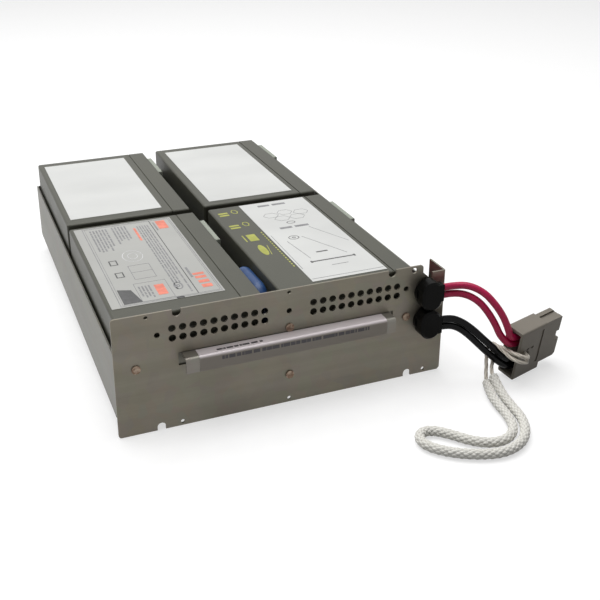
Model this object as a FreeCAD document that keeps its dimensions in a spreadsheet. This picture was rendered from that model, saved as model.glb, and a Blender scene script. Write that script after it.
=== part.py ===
"""UPS battery cartridge: four sealed batteries on a folded steel tray behind a perforated front panel,
wired through two strain reliefs to a two-pole connector with a pull rope. Millimetres, +Z up."""
import FreeCAD, Part
import math
import os
import re
import Sketcher
from FreeCAD import Rotation, Vector

doc = FreeCAD.newDocument("BatteryCartridge")

# ---------------------------------------------------------------------------------------------------
# Driving dimensions. x runs from the panel's left edge to the right, y from the panel's face to the
# rear, z from the panel's bottom edge up, until the whole cartridge is moved onto its origin.
SIZES = {
    # front panel
    "panel_height": (81.4, "panel, bottom edge to top edge"),
    "panel_sheet": (1.2, "panel sheet"),
    "panel_corner": (2.0, "rounding of the panel's corners"),
    "end_width": (9.9, "right end of the panel beyond the top notch"),
    "end_height": (75.0, "top of that right end"),
    "notch_start": (17.0, "top notch, from the right edge"),
    "notch_shoulder": (76.0, "height where the notch starts to slope"),
    "notch_floor": (69.4, "lowest point of the notch"),
    "flange_depth": (19.2, "return flange at the right edge, front to rear"),
    "fold_round": (0.9, "outer radius of the flange's fold"),
    "slot_left": (39.8, "handle slot, left end"),
    "slot_right": (38.4, "handle slot, from the panel's right edge"),
    "slot_bottom": (43.0, "handle slot, lower edge"),
    "slot_height": (9.0, "handle slot, height"),
    "vent_radius": (2.35, "vent hole"),
    "vent_pitch": (6.59, "vent holes, centre to centre"),
    "vent_columns": (10, "vent holes in a row"),
    "vent_rows": (2, "rows of vent holes"),
    "vent_top": (69.1, "upper row of vent holes"),
    "vent_left": (36.7, "first column of the left group"),
    "vent_aside": (80.6, "first column of the right group, left of the strain reliefs"),
    "screw_radius": (1.8, "panel screw holes"),
    "screw_height": (66.3, "panel screw holes"),
    "screw_left": (27.3, "left screw hole"),
    "screw_shift": (0.2, "middle screw hole, right of the panel's middle"),
    "screw_inset": (29.3, "right screw hole, from the panel's right edge"),
    "pin_radius": (1.3, "small locating holes"),
    "pin_top": (79.0, "locating holes under the top edge"),
    "pin_bottom": (2.8, "locating holes over the bottom edge"),
    "pin_left": (21.1, "upper left locating hole"),
    "pin_lower_left": (40.7, "lower left locating hole"),
    "pin_inset": (13.3, "lower right locating hole, from the panel's right edge"),
    "sight_radius": (2.0, "larger hole at the upper right"),
    "sight_inset": (23.6, "larger hole at the upper right, from the panel's right edge"),
    "sight_height": (78.4, "larger hole at the upper right"),
    "relief_radius": (2.7, "half-round reliefs in the top and bottom edges"),
    "relief_depth": (4.9, "depth of those reliefs"),
    "relief_top_left": (39.9, "top relief, left"),
    "relief_top_inset": (39.8, "top relief, from the panel's right edge"),
    "relief_low_left": (27.1, "bottom relief, left"),
    "relief_low_inset": (25.7, "bottom relief, from the panel's right edge"),
    # tray
    "tray_sheet": (1.0, "tray sheet"),
    "tray_bottom": (12.3, "tray underside over the panel's bottom edge"),
    "tray_top": (58.8, "top of the tray's walls"),
    "rear_play": (0.1, "between the rear batteries and the tray's rear wall"),
    "tray_bend": (1.6, "outer radius of the tray's folds"),
    "wall_seam": (0.3, "gap at the tray's corners"),
    "corner_notch": (2.6, "relief cut at the tray's folded corners"),
    # pull handle
    "handle_left": (42.0, "handle, left end"),
    "handle_right": (40.9, "handle, right end, from the panel's right edge"),
    "handle_sheet": (1.0, "handle sheet"),
    "handle_top": (51.6, "top of the handle's shelf"),
    "handle_reach": (9.5, "how far the handle stands out"),
    "lip_height": (10.0, "handle's lip, top to bottom"),
    "handle_bend": (2.4, "outer radius at the lip"),
    "leg_height": (7.0, "handle's leg behind the tray's front wall, above the shelf"),
    "handle_play": (0.25, "clearance of the shelf in the tray's slot"),
    "band_left": (8.6, "handle band, from the handle's left end"),
    "band_right": (6.5, "handle band, from the handle's right end"),
    "band_film": (0.2, "printed film"),
    # rivets
    "rivet_radius": (1.6, "rivet shank"),
    "rivet_head": (2.8, "rivet head radius"),
    "rivet_dome": (0.9, "rivet head height"),
    "rivet_tail": (0.7, "set end of the rivet"),
    "rivet_left": (13.3, "left rivet"),
    "rivet_aside": (13.6, "right rivet, left of the strain reliefs"),
    "rivet_side_height": (45.8, "left and right rivets"),
    "rivet_shift": (0.5, "middle rivets, right of the panel's middle"),
    "rivet_low": (20.5, "lower middle rivet"),
    "rivet_high": (54.7, "rivet of the handle"),
    # batteries
    "battery_length": (151.0, "battery, front to rear"),
    "battery_tall": (93.5, "battery, base to lid face, lying along x"),
    "battery_thick": (65.4, "battery, floor to top"),
    "lid_tall": (13.8, "lid"),
    "seam_depth": (0.6, "groove between case and lid"),
    "seam_width": (0.8, "groove between case and lid"),
    "battery_round": (1.6, "edge rounding of the battery"),
    "front_row": (4.0, "front batteries' front face"),
    "row_gap": (8.2, "between front and rear batteries"),
    "left_column": (2.5, "left batteries' base face"),
    "column_gap": (11.8, "left lids to the right batteries' base faces"),
    "lane_width": (20.9, "right lids to the tray's right wall, where the leads run"),
    "label_film": (0.2, "battery label"),
    "cover_length": (100.0, "vent cover strip on the lid"),
    "cover_width": (20.0, "vent cover strip on the lid"),
    "cover_thick": (1.2, "vent cover strip on the lid"),
    "cover_gap": (3.1, "vent cover strip, below the spacer pad"),
    "pad_start": (94.0, "spacer pad, from the battery's front"),
    "pad_length": (39.0, "spacer pad, length"),
    "pad_height": (12.0, "spacer pad, height"),
    "pad_thick": (3.6, "spacer pad, thickness"),
    "pad_drop": (0.3, "spacer pad, below the battery's top"),
    "terminal_inset": (12.0, "terminal centres, from the battery's ends"),
    "terminal_height": (13.0, "terminal centres over the battery's lower side"),
    "island_size": (9.0, "terminal island"),
    "island_thick": (1.0, "terminal island"),
    "blade_width": (6.35, "terminal blade"),
    "blade_thick": (0.8, "terminal blade"),
    "blade_length": (7.5, "terminal blade beyond its island"),
    "boot_depth": (9.0, "boot, away from the lid"),
    "boot_width": (8.4, "boot, across the lead"),
    "boot_front": (5.5, "boot, from the terminal to its closed end"),
    "boot_rear": (6.5, "boot, from the terminal to the lead"),
    "boot_play": (0.1, "clearance round the blade"),
    "boot_stand": (1.2, "boot, clear of the lid"),
    "boot_round": (0.9, "bevels of the boot"),
    # strain reliefs
    "relief_inset": (8.3, "strain reliefs' centre line, right of the right lids"),
    "relief_high": (62.2, "upper strain relief"),
    "relief_low": (41.4, "lower strain relief"),
    "head_width": (14.8, "strain relief head, across"),
    "head_height": (20.4, "strain relief head, height"),
    "head_round": (7.2, "rounding of the head's outline"),
    "head_reach": (11.0, "strain relief head, out of the panel"),
    "head_bevel": (1.3, "bevel round the head's front"),
    "collar_radius": (8.2, "strain relief collar on the panel"),
    "collar_thick": (3.2, "strain relief collar on the panel"),
    "outlet_width": (5.8, "cable outlet of the head"),
    "outlet_height": (12.0, "cable outlet of the head"),
    "outlet_reach": (8.5, "cable outlet, from the centre line"),
    "outlet_out": (8.0, "cable outlet, in front of the panel"),
    "outlet_high": (64.2, "red leads' way out of the upper strain relief"),
    "outlet_low": (40.5, "black leads' way out of the lower strain relief"),
    "neck_radius": (6.1, "neck through the panel"),
    "neck_play": (0.15, "clearance round the neck"),
    "neck_end": (4.8, "neck's inner end, behind the panel's face"),
    "barb_radius": (6.8, "snap ring behind the sheet"),
    "barb_thick": (1.4, "snap ring behind the sheet"),
    # leads and rope
    "lead_radius": (2.4, "battery lead"),
    "sleeve_radius": (5.2, "blue sleeve"),
    "sleeve_play": (0.1, "clearance of the sleeve on its lead"),
    "strand_radius": (1.3, "cord inside the rope"),
    "rope_radius": (3.2, "braided rope"),
    # connector
    "plug_length": (42.0, "connector, lead side to mating side"),
    "plug_thick": (13.5, "connector, face to face"),
    "plug_width": (39.0, "connector, across both poles"),
    "plug_back": (24.5, "full-thickness part of the connector"),
    "plug_step": (1.3, "step from that part to the mating part"),
    "plug_longer": (1.4, "lower pole, beyond the upper one"),
    "plug_foot": (3.7, "mating part's lower edge over the connector's"),
    "pole_offset": (9.7, "poles, from the connector's middle"),
    "entry_width": (15.0, "lead entry, across"),
    "entry_thick": (10.4, "lead entry, through the thickness"),
    "entry_depth": (6.0, "lead entry, depth"),
    "socket_width": (12.6, "contact chamber, across"),
    "socket_thick": (8.4, "contact chamber, through the thickness"),
    "socket_depth": (15.0, "contact chamber, depth"),
    "contact_width": (8.0, "contact blade"),
    "contact_thick": (2.0, "contact blade"),
    "contact_length": (13.0, "contact blade"),
    "eye_radius": (2.9, "hole through the connector's middle"),
    "eye_along": (8.0, "that hole, from the lead side"),
    "keyway_width": (4.4, "keyway along the connector's top"),
    "keyway_depth": (1.3, "keyway along the connector's top"),
    "keyway_length": (17.5, "keyway along the connector's top"),
    "nose_bevel": (2.4, "bevels at the connector's mating end"),
    "nose_gap": (7.4, "notch between the poles' tips"),
    "nose_gap_depth": (3.2, "notch between the poles' tips"),
    "nose_gap_height": (18.2, "notch between the poles' tips"),
    "relief_mark": (2.2, "small moulded recesses on the connector's face"),
    "relief_mark_depth": (0.8, "small moulded recesses on the connector's face"),
}

sheet = doc.addObject("Spreadsheet::Sheet", "Sizes")
for row, (alias, (value, note)) in enumerate(SIZES.items(), 1):
    sheet.set("A%d" % row, note)
    sheet.set("B%d" % row, str(value))
    sheet.setAlias("B%d" % row, alias)
doc.recompute()

# Dimensions that follow from what they hold, so the panel and the tray fit the batteries and leads.
DERIVED = {
    "right_column": "left_column + battery_tall + column_gap",
    "right_lids": "right_column + battery_tall",
    "panel_width": "right_lids + lane_width + tray_sheet + panel_sheet",
    "relief_column": "right_lids + relief_inset",
    "rear_row": "front_row + battery_length + row_gap",
    "cover_height": "battery_thick - pad_drop - pad_height - cover_gap - cover_width / 2",
    "tray_end": "rear_row + battery_length + rear_play + tray_sheet",
    "slot_width": "panel_width - slot_left - slot_right",
    "vent_right": "relief_column - vent_aside",
    "screw_middle": "panel_width / 2 + screw_shift",
    "screw_right": "panel_width - screw_inset",
    "pin_lower_right": "panel_width - pin_inset",
    "sight_left": "panel_width - sight_inset",
    "relief_top_right": "panel_width - relief_top_inset",
    "relief_low_right": "panel_width - relief_low_inset",
    "handle_length": "panel_width - handle_left - handle_right",
    "band_length": "handle_length - band_left - band_right",
    "rivet_right": "relief_column - rivet_aside",
    "rivet_middle": "panel_width / 2 + rivet_shift",
}

# Where the cartridge's own corner lies from its origin, the middle of its footprint.
SHIFT_X = "-panel_width / 2"
SHIFT_Y = "-(tray_end - head_reach) / 2"


def cell(text):
    """An expression in the sheet's names, as an object outside the sheet reads it."""
    def name(word):
        if word[0] in DERIVED:
            return "(%s)" % cell(DERIVED[word[0]])
        return "Sizes." + word[0] if word[0] in SIZES else word[0]
    return re.sub(r"[a-z_]+", name, text)


def number(text):
    """The value of such an expression now, in millimetres."""
    return float(sheet.evalExpression(cell(text)))


def place(thing, x="0", y="0", z="0"):
    """Bind a sub-part's Placement to where its own corner lies on the cartridge."""
    thing.setExpression("Placement.Base.x", cell("%s + %s" % (SHIFT_X, x)))
    thing.setExpression("Placement.Base.y", cell("%s + %s" % (SHIFT_Y, y)))
    thing.setExpression("Placement.Base.z", cell(z))


# ---------------------------------------------------------------------------------------------------
# Sketches and features, each bound to the sheet
PLANES = {"XY": "XY_Plane", "XZ": "XZ_Plane", "YZ": "YZ_Plane"}
parts = []


def new_body(label, x="0", y="0", z="0"):
    body = doc.addObject("PartDesign::Body", label)
    body.Label = label
    place(body, x, y, z)
    parts.append(body)
    return body


def new_sketch(body, plane, offset=None):
    """A sketch on one of the body's planes. offset is along +X, +Y or +Z."""
    sketch = body.newObject("Sketcher::SketchObject", "sketch")
    support = next(f for f in body.Origin.OriginFeatures if f.Role == PLANES[plane])
    sketch.AttachmentSupport = [(support, "")]
    sketch.MapMode = "FlatFace"
    if offset:
        side = "-" if plane == "XZ" else ""
        sketch.setExpression("AttachmentOffset.Base.z", cell("%s(%s)" % (side, offset)))
    return sketch


def bound(sketch, constraint, text):
    index = sketch.addConstraint(constraint)
    sketch.setExpression("Constraints[%d]" % index, cell(text))


def polygon(sketch, points):
    """A closed outline whose corners are pairs of expressions."""
    here = [Vector(number(x), number(y), 0) for x, y in points]
    first = sketch.GeometryCount
    count = len(points)
    for k in range(count):
        sketch.addGeometry(Part.LineSegment(here[k], here[(k + 1) % count]), False)
    for k in range(count):
        sketch.addConstraint(Sketcher.Constraint("Coincident", first + k, 2, first + (k + 1) % count, 1))
    for k, (x, y) in enumerate(points):
        bound(sketch, Sketcher.Constraint("DistanceX", -1, 1, first + k, 1, here[k].x), x)
        bound(sketch, Sketcher.Constraint("DistanceY", -1, 1, first + k, 1, here[k].y), y)


def rectangle(sketch, left, bottom, width, height):
    right, top = "%s + %s" % (left, width), "%s + %s" % (bottom, height)
    polygon(sketch, [(left, bottom), (right, bottom), (right, top), (left, top)])


def circle(sketch, x, y, radius):
    index = sketch.addGeometry(
        Part.Circle(Vector(number(x), number(y), 0), Vector(0, 0, 1), number(radius)), False
    )
    bound(sketch, Sketcher.Constraint("DistanceX", -1, 1, index, 3, number(x)), x)
    bound(sketch, Sketcher.Constraint("DistanceY", -1, 1, index, 3, number(y)), y)
    bound(sketch, Sketcher.Constraint("Radius", index, number(radius)), radius)


def pad(body, sketch, length, flipped=False):
    feature = body.newObject("PartDesign::Pad", "pad")
    feature.Profile = sketch
    feature.Reversed = flipped
    feature.setExpression("Length", cell(length))
    doc.recompute()
    return feature


def pocket(body, sketch, length=None, flipped=False):
    """Cut through everything on both sides of the sketch, or to a depth on one side."""
    before = body.Shape.Volume
    feature = body.newObject("PartDesign::Pocket", "pocket")
    feature.Profile = sketch
    if length is None:
        feature.Type = "ThroughAll"
        feature.SideType = "Symmetric"
    else:
        feature.Reversed = flipped
        feature.setExpression("Length", cell(length))
    doc.recompute()
    if not body.Shape.Volume < before - 0.01:
        raise ValueError("a pocket in %s cuts nothing" % body.Label)
    return feature


def grid(body, feature, columns, column_pitch, rows, row_pitch):
    """Repeat a feature along X and down Z."""
    axes = {f.Role: f for f in body.Origin.OriginFeatures}
    pattern = body.newObject("PartDesign::LinearPattern", "grid")
    pattern.Originals = [feature]
    pattern.Direction = (axes["X_Axis"], [""])
    pattern.Direction2 = (axes["Z_Axis"], [""])
    pattern.Reversed2 = True
    pattern.setExpression("Length", cell("(%s - 1) * %s" % (columns, column_pitch)))
    pattern.setExpression("Occurrences", cell(columns))
    pattern.setExpression("Length2", cell("(%s - 1) * %s" % (rows, row_pitch)))
    pattern.setExpression("Occurrences2", cell(rows))
    body.Tip = pattern
    doc.recompute()
    return pattern


def round_edges(body, radius, test, kind="PartDesign::Fillet"):
    """Round, or chamfer, the edges of the body's last feature that pass the test."""
    base = body.Tip
    names = ["Edge%d" % n for n, edge in enumerate(base.Shape.Edges, 1) if test(edge)]
    if not names:
        raise ValueError("no edge to round in %s" % body.Label)
    feature = body.newObject(kind, "rounding")
    feature.Base = (base, names)
    feature.setExpression("Radius" if kind.endswith("Fillet") else "Size", cell(radius))
    doc.recompute()
    return feature


def near(value, text):
    return abs(value - number(text)) < 1e-4


def flat(edge, axis):
    """True for a straight edge along x, y or z."""
    if edge.Curve.TypeId != "Part::GeomLine":
        return False
    way = edge.Curve.Direction
    return abs(abs(getattr(way, axis)) - 1) < 1e-6


def middle(edge):
    return edge.CenterOfMass


# ---------------------------------------------------------------------------------------------------
# Front panel: a perforated sheet with a return flange at its right edge
def front_panel():
    body = new_body("front_panel")
    outline = new_sketch(body, "XZ")
    polygon(outline, [
        ("0", "0"), ("panel_width - panel_corner", "0"), ("panel_width", "panel_corner"), ("panel_width", "end_height"),
        ("panel_width - end_width", "end_height"), ("panel_width - end_width", "notch_floor"),
        ("panel_width - notch_start", "notch_shoulder"), ("panel_width - notch_start", "panel_height"),
        ("0", "panel_height"),
    ])
    pad(body, outline, "panel_sheet", flipped=True)
    flange = new_sketch(body, "XZ")
    rectangle(flange, "panel_width - panel_sheet", "tray_bottom", "panel_sheet", "end_height - tray_bottom")
    pad(body, flange, "flange_depth", flipped=True)

    def corner(edge):
        at = middle(edge)
        left = near(at.x, "0") and (near(at.z, "0") or near(at.z, "panel_height"))
        step = near(at.x, "panel_width - notch_start") and near(at.z, "panel_height")
        return flat(edge, "y") and (left or step)

    round_edges(body, "fold_round", lambda edge: flat(edge, "z") and near(middle(edge).x, "panel_width")
                and near(middle(edge).y, "0") and edge.Length > number("end_height") / 2)
    round_edges(body, "panel_corner", corner)

    cuts = new_sketch(body, "XZ")
    rectangle(cuts, "slot_left", "slot_bottom", "slot_width", "slot_height")
    for x in ("screw_left", "screw_middle", "screw_right"):
        circle(cuts, x, "screw_height", "screw_radius")
    for x in ("pin_left", "screw_middle"):
        circle(cuts, x, "pin_top", "pin_radius")
    for x in ("pin_lower_left", "screw_middle", "pin_lower_right"):
        circle(cuts, x, "pin_bottom", "pin_radius")
    circle(cuts, "sight_left", "sight_height", "sight_radius")
    for z in ("relief_high", "relief_low"):
        circle(cuts, "relief_column", z, "neck_radius + neck_play")
    for x, z in RIVETS:
        circle(cuts, x, z, "rivet_radius")
    pocket(body, cuts)

    for x in ("relief_top_left", "relief_top_right"):
        edge_relief(body, x, "panel_height - relief_depth + relief_radius", "panel_height + 1")
    for x in ("relief_low_left", "relief_low_right"):
        edge_relief(body, x, "relief_depth - relief_radius", "-1")

    for left in ("vent_left", "vent_right"):
        hole = new_sketch(body, "XZ")
        circle(hole, left, "vent_top", "vent_radius")
        grid(body, pocket(body, hole), "vent_columns", "vent_pitch", "vent_rows", "vent_pitch")
    return body


def edge_relief(body, x, centre, edge):
    """A slot with one round end, open at the panel's edge."""
    hole = new_sketch(body, "XZ")
    circle(hole, x, centre, "relief_radius")
    pocket(body, hole)
    mouth = new_sketch(body, "XZ")
    low, high = sorted((centre, edge), key=number)
    rectangle(mouth, "%s - relief_radius" % x, low, "2 * relief_radius", "(%s) - (%s)" % (high, low))
    pocket(body, mouth)


RIVETS = [
    ("rivet_left", "rivet_side_height"), ("rivet_right", "rivet_side_height"),
    ("rivet_middle", "rivet_low"), ("rivet_middle", "rivet_high"),
]


# ---------------------------------------------------------------------------------------------------
# Tray: one folded sheet, floor, two long walls and two end walls
def tray():
    body = new_body("tray", z="tray_bottom")
    right = "panel_width - panel_sheet"
    tall = "tray_top - tray_bottom"
    section = new_sketch(body, "XZ", "panel_sheet")
    polygon(section, [
        ("0", "0"), (right, "0"), (right, tall), (right + " - tray_sheet", tall),
        (right + " - tray_sheet", "tray_sheet"), ("tray_sheet", "tray_sheet"), ("tray_sheet", tall), ("0", tall),
    ])
    pad(body, section, "tray_end - panel_sheet", flipped=True)
    for start in ("panel_sheet", "tray_end - tray_sheet"):
        wall = new_sketch(body, "XZ", start)
        rectangle(wall, "tray_sheet + wall_seam", "0", right + " - 2 * tray_sheet - 2 * wall_seam", tall)
        pad(body, wall, "tray_sheet", flipped=True)

    notches = new_sketch(body, "XY")
    for x in ("0", right + " - corner_notch"):
        for y in ("panel_sheet", "tray_end - corner_notch"):
            rectangle(notches, x, y, "corner_notch", "corner_notch")
    pocket(body, notches, "corner_notch", flipped=True)

    def fold(edge):
        at = middle(edge)
        side = flat(edge, "y") and (near(at.x, "0") or near(at.x, right))
        end = flat(edge, "x") and (near(at.y, "panel_sheet") or near(at.y, "tray_end"))
        return near(at.z, "0") and (side or end)

    round_edges(body, "tray_bend", fold)

    holes = new_sketch(body, "XZ", "panel_sheet")
    rectangle(holes, "handle_left - handle_play", "handle_top - handle_sheet - handle_play - tray_bottom",
              "handle_length + 2 * handle_play", "handle_sheet + 2 * handle_play")
    for z in ("relief_high", "relief_low"):
        circle(holes, "relief_column", z + " - tray_bottom", "neck_radius + neck_play")
    for x, z in RIVETS:
        circle(holes, x, z + " - tray_bottom", "rivet_radius")
    pocket(body, holes, "tray_sheet")
    return body


# ---------------------------------------------------------------------------------------------------
# Pull handle: a strip folded twice. Its leg is riveted behind the tray's front wall, its shelf comes
# out through the slots, and its lip hangs down in front for the fingers. A film band is wrapped on it.
def handle_strip(label, x, length, thick, grow, with_leg):
    """The handle's section, made larger all round by grow, as a strip of that thickness."""
    body = new_body(label, x, z="handle_top")
    front = "handle_reach" + grow
    wall = "panel_sheet + tray_sheet"
    section = new_sketch(body, "YZ")
    low = "-lip_height"
    if with_leg:
        polygon(section, [
            ("-(%s)" % front, low), ("-(%s) + %s" % (front, thick), low), ("-(%s) + %s" % (front, thick), "-" + thick),
            (wall, "-" + thick), (wall + " + " + thick, "-" + thick),
            (wall + " + " + thick, "leg_height"), (wall, "leg_height"), (wall, "0"), ("-(%s)" % front, "0"),
        ])
    else:
        polygon(section, [
            ("-(%s)" % front, low), ("-handle_reach", low), ("-handle_reach", "0"),
            ("-panel_sheet / 2", "0"), ("-panel_sheet / 2", thick), ("-(%s)" % front, thick),
        ])
    pad(body, section, length)

    def bend(edge, y, z):
        return flat(edge, "x") and near(middle(edge).y, y) and near(middle(edge).z, z)

    if with_leg:
        round_edges(body, "handle_bend", lambda e: bend(e, "-(%s)" % front, "0"))
        round_edges(body, "handle_bend - handle_sheet",
                    lambda e: bend(e, "-(%s) + %s" % (front, thick), "-" + thick))
        round_edges(body, "handle_sheet / 2", lambda e: bend(e, wall + " + " + thick, "-" + thick))
        hole = new_sketch(body, "XZ", wall)
        circle(hole, "rivet_middle - " + x, "rivet_high - handle_top", "rivet_radius")
        pocket(body, hole, "handle_sheet")
    else:
        round_edges(body, "handle_bend", lambda e: bend(e, "-handle_reach", "0"))
        round_edges(body, "handle_bend + band_film", lambda e: bend(e, "-(%s)" % front, thick))
    return body


# ---------------------------------------------------------------------------------------------------
# Batteries: sealed cases lying on one side, lids towards +x
BATTERIES = {
    # name: column, row, label from the base face, label from the front, label width, label length
    "front_left": ("left_column", "front_row", 2.6, 14.0, 71.5, 133.0),
    "front_right": ("right_column", "front_row", 24.5, 4.8, 53.0, 144.0),
    "rear_left": ("left_column", "rear_row", 4.4, 9.5, 69.6, 132.0),
    "rear_right": ("right_column", "rear_row", 6.6, 7.5, 69.2, 134.0),
}


def battery_corner(name):
    column, row = BATTERIES[name][:2]
    return column, row, "tray_bottom + tray_sheet"


def battery_case(name):
    body = new_body(name + "_case", *battery_corner(name))
    section = new_sketch(body, "YZ")
    rectangle(section, "0", "0", "battery_length", "battery_thick")
    pad(body, section, "battery_tall - lid_tall")
    round_edges(body, "battery_round", lambda e: flat(e, "x"))
    return round_edges(body, "battery_round", lambda e: near(middle(e).x, "0"))


def battery_lid(name):
    """The lid, its foot set in to leave the groove at the seam, with a recess at each terminal."""
    body = new_body(name + "_lid", *battery_corner(name))
    foot = new_sketch(body, "YZ", "battery_tall - lid_tall")
    rectangle(foot, "seam_depth", "seam_depth", "battery_length - 2 * seam_depth", "battery_thick - 2 * seam_depth")
    pad(body, foot, "seam_width")
    top = new_sketch(body, "YZ", "battery_tall - lid_tall + seam_width")
    rectangle(top, "0", "0", "battery_length", "battery_thick")
    pad(body, top, "lid_tall - seam_width")
    outer = number("battery_tall - lid_tall + seam_width")
    round_edges(body, "battery_round", lambda e: flat(e, "x") and middle(e).x > outer)
    round_edges(body, "battery_round / 2", lambda e: near(middle(e).x, "battery_tall"))
    wells = new_sketch(body, "YZ", "battery_tall")
    for y in TERMINALS:
        rectangle(wells, "%s - island_size / 2" % y, "terminal_height - island_size / 2", "island_size", "island_size")
    pocket(body, wells, "island_thick")
    return body


TERMINALS = ("terminal_inset", "(battery_length - terminal_inset)")


def battery_box(label, name, x, y, z, dx, dy, dz):
    """A small plain block on a battery, placed from that battery's corner."""
    box = doc.addObject("Part::Box", label)
    box.Label = label
    for side, text in (("Length", dx), ("Width", dy), ("Height", dz)):
        box.setExpression(side, cell(text))
    bx, by, bz = battery_corner(name)
    place(box, "%s + %s" % (bx, x), "%s + %s" % (by, y), "%s + %s" % (bz, z))
    return box


def vent_cover(name):
    body = new_body(name + "_vent_cover", *battery_corner(name))
    plate = new_sketch(body, "YZ", "battery_tall")
    rectangle(plate, "(battery_length - cover_length) / 2", "cover_height - cover_width / 2",
              "cover_length", "cover_width")
    pad(body, plate, "cover_thick")
    return round_edges(body, "cover_width / 8", lambda e: flat(e, "x"))


def spacer_pad(name):
    body = new_body(name + "_spacer_pad", *battery_corner(name))
    block = new_sketch(body, "YZ", "battery_tall")
    rectangle(block, "pad_start", "battery_thick - pad_drop - pad_height", "pad_length", "pad_height")
    pad(body, block, "pad_thick")
    return round_edges(body, "pad_thick / 4", lambda e: flat(e, "x") or flat(e, "y") and near(
        middle(e).x, "battery_tall + pad_thick"))


def terminals(name):
    """Both spade terminals of a battery: an island in the lid's recess and a blade standing on it."""
    blades = []
    for k, y in enumerate(TERMINALS):
        island = battery_box(name + "_island_%d" % k, name, "battery_tall - island_thick", y + " - island_size / 2",
                             "terminal_height - island_size / 2", "island_thick", "island_size", "island_size")
        blade = battery_box(name + "_blade_%d" % k, name, "battery_tall", y + " - blade_width / 2",
                            "terminal_height - blade_thick / 2", "blade_length", "blade_width", "blade_thick")
        both = doc.addObject("Part::Fuse", name + "_terminal_%d" % k)
        both.Base, both.Tool = island, blade
        blades.append(both)
    return group(name + "_terminals", blades)


def group(label, members):
    """Like pieces that share one node."""
    together = doc.addObject("Part::Compound", label)
    together.Label = label
    together.Links = members
    parts.append(together)
    return together


def battery_label(name):
    label = name + "_label"
    width, length = BATTERIES[name][4:]
    box = battery_box(label, name, str(BATTERIES[name][2]), str(BATTERIES[name][3]), "battery_thick",
                      str(width), str(length), "label_film")
    parts.append(box)
    return box


BOOT_LEADS = {
    # the way that the lead leaves the boot at each terminal, front then rear
    "front_left": ("up", "rear"), "rear_left": ("up", "up"),
    "front_right": ("rear", "front"), "rear_right": ("up", "front"),
}


def terminal_boots():
    """The insulated push-on connectors of the leads, each with the slot that its blade fills."""
    boots = []
    for name, ways in BOOT_LEADS.items():
        for k, (y, way) in enumerate(zip(TERMINALS, ways)):
            before = {"rear": "boot_front", "front": "boot_rear", "up": "boot_width / 2"}[way]
            along = "boot_width" if way == "up" else "(boot_front + boot_rear)"
            below = "boot_front" if way == "up" else "boot_width / 2"
            tall = "(boot_front + boot_rear)" if way == "up" else "boot_width"
            tag = "%s_%d" % (name, k)
            block = battery_box("boot_block_" + tag, name, "battery_tall + boot_stand", y + " - " + before,
                                "terminal_height - " + below, "boot_depth", along, tall)
            slot = battery_box("boot_slot_" + tag, name, "battery_tall", y + " - blade_width / 2 - boot_play",
                               "terminal_height - blade_thick / 2 - boot_play", "blade_length + boot_play",
                               "blade_width + 2 * boot_play", "blade_thick + 2 * boot_play")
            rounded = doc.addObject("Part::Chamfer", "boot_round_" + tag)
            rounded.Base = block
            doc.recompute()
            rounding = number("boot_round")
            rounded.Edges = [(n, rounding, rounding) for n in range(1, len(block.Shape.Edges) + 1)]
            boot = doc.addObject("Part::Cut", "boot_" + tag)
            boot.Base, boot.Tool = rounded, slot
            boots.append(boot)
    return group("terminal_boots", boots)


# ---------------------------------------------------------------------------------------------------
# Strain reliefs: an oval head in front of the panel with a cable outlet to the right, a round collar
# on the panel, and a neck held by a snap ring behind the sheet
def strain_relief(label, height, outlet):
    body = new_body(label, "relief_column", z=height)
    head = new_sketch(body, "XZ", "-head_reach")
    rectangle(head, "-head_width / 2", "-head_height / 2", "head_width", "head_height")
    pad(body, head, "head_reach - collar_thick / 2", flipped=True)
    round_edges(body, "head_round", lambda e: flat(e, "y"))
    round_edges(body, "head_bevel", lambda e: near(middle(e).y, "-head_reach"), "PartDesign::Chamfer")
    for radius, start, length in (
        ("collar_radius", "-collar_thick", "collar_thick"),
        ("neck_radius", "0", "neck_end"),
        ("barb_radius", "panel_sheet + tray_sheet + neck_play", "barb_thick"),
    ):
        disc = new_sketch(body, "XZ", start)
        circle(disc, "0", "0", radius)
        pad(body, disc, length, flipped=True)
    mouth = new_sketch(body, "YZ")
    rectangle(mouth, "-outlet_out - outlet_width / 2", "%s - %s - outlet_height / 2" % (outlet, height),
              "outlet_width", "outlet_height")
    pad(body, mouth, "outlet_reach")
    return round_edges(body, "outlet_width / 8", lambda e: near(middle(e).x, "outlet_reach"),
                       "PartDesign::Chamfer")


# ---------------------------------------------------------------------------------------------------
# Connector: a two-pole moulding that stands on its long edge. Its own x runs from the leads to the
# mating side, y through its thickness and z across the poles.
PLUG = ("relief_column + 51.7", "-33.0", "0.4")
PLUG_TURN = (14.06, -2.86, 10.0)


def lay_plug(thing, x="0", y="0", z="0"):
    """Turn a piece of the connector with it, and place it from the connector's corner."""
    thing.Placement.Rotation = Rotation(*PLUG_TURN)
    corner = thing.Placement.Rotation.multVec(Vector(number(x), number(y), number(z)))
    for axis, at, text, shift in zip("xyz", corner, PLUG, (SHIFT_X, SHIFT_Y, "0")):
        thing.setExpression("Placement.Base." + axis, cell("%s + %s + %.6f" % (shift, text, at)))


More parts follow.
